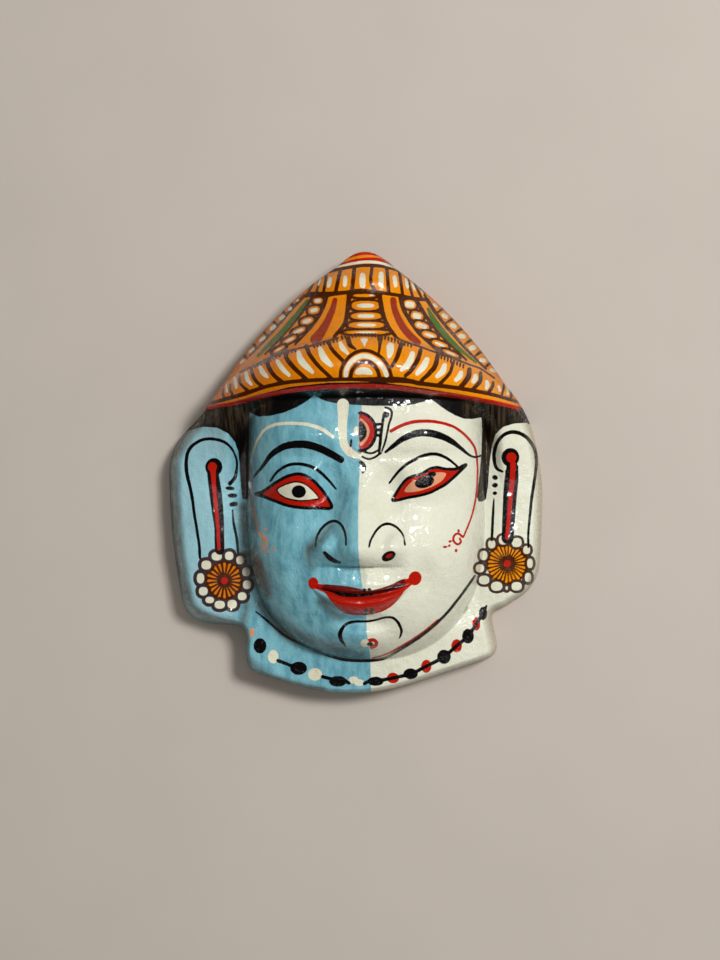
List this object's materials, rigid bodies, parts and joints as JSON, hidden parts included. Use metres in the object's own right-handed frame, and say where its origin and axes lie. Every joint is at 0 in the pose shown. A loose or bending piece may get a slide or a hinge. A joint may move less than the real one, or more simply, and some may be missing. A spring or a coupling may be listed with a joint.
{
  "type": "papier-mache deity mask",
  "caption": "Hollow painted papier-mache mask of a deity, half blue and half white, with ears, neck and a tall orange hat, lying on its open rim.",
  "frame": {"origin": "middle of the mask's outline, in the plane of its flat rim", "axes": "+Z out of the face, +Y towards the tip of the hat, +X to the right of someone who looks at the face"},
  "size_m": [0.1702, 0.1996, 0.0716],
  "materials": {
    "painted_papier_mache": "glossy lacquer over paint"
  },
  "bodies": {
    "root": {"mask_shell": "painted_papier_mache"}
  },
  "joints": []
}
